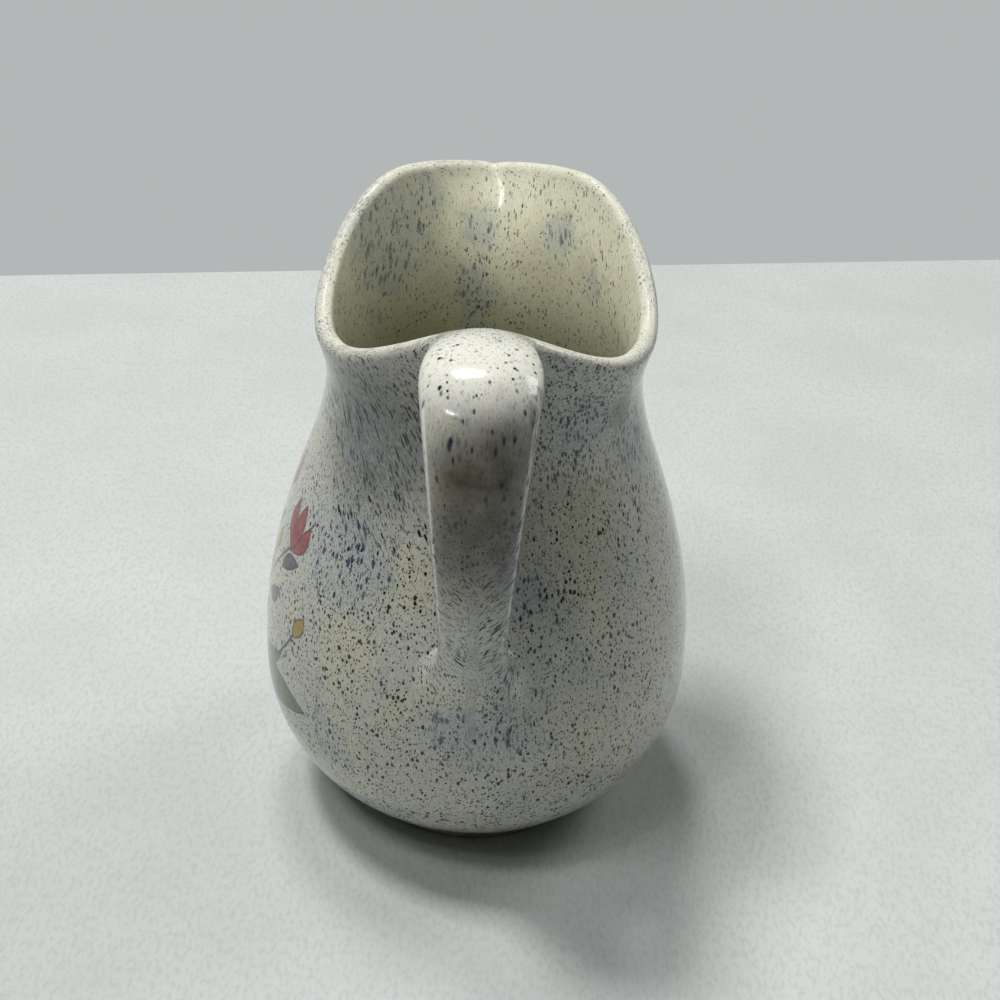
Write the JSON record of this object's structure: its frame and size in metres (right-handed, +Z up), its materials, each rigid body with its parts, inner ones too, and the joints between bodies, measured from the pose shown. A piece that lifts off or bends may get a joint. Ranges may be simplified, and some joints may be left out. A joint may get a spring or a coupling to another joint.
{
  "type": "pitcher",
  "caption": "Pear-shaped glazed stoneware pitcher with a drawn pouring lip, a strap handle and a bare foot ring, for holding and pouring drinks.",
  "frame": {"origin": "on the table, under the middle of the pitcher's box, handle and lip included", "axes": "+Z up, +Y towards the pouring lip, -Y towards the handle, +X across"},
  "size_m": [0.108, 0.1236, 0.1528],
  "materials": {
    "glaze": "glossy cream glaze with dark blue and brown-black specks",
    "bare_clay": "unglazed fired stoneware, matt",
    "slip": "fired slip under the glaze, matt"
  },
  "bodies": {
    "root": {"jug_body": "glaze", "handle": "glaze", "foot_ring": "bare_clay", "upper_slip_joint": "slip", "lower_slip_joint": "slip"}
  },
  "joints": []
}
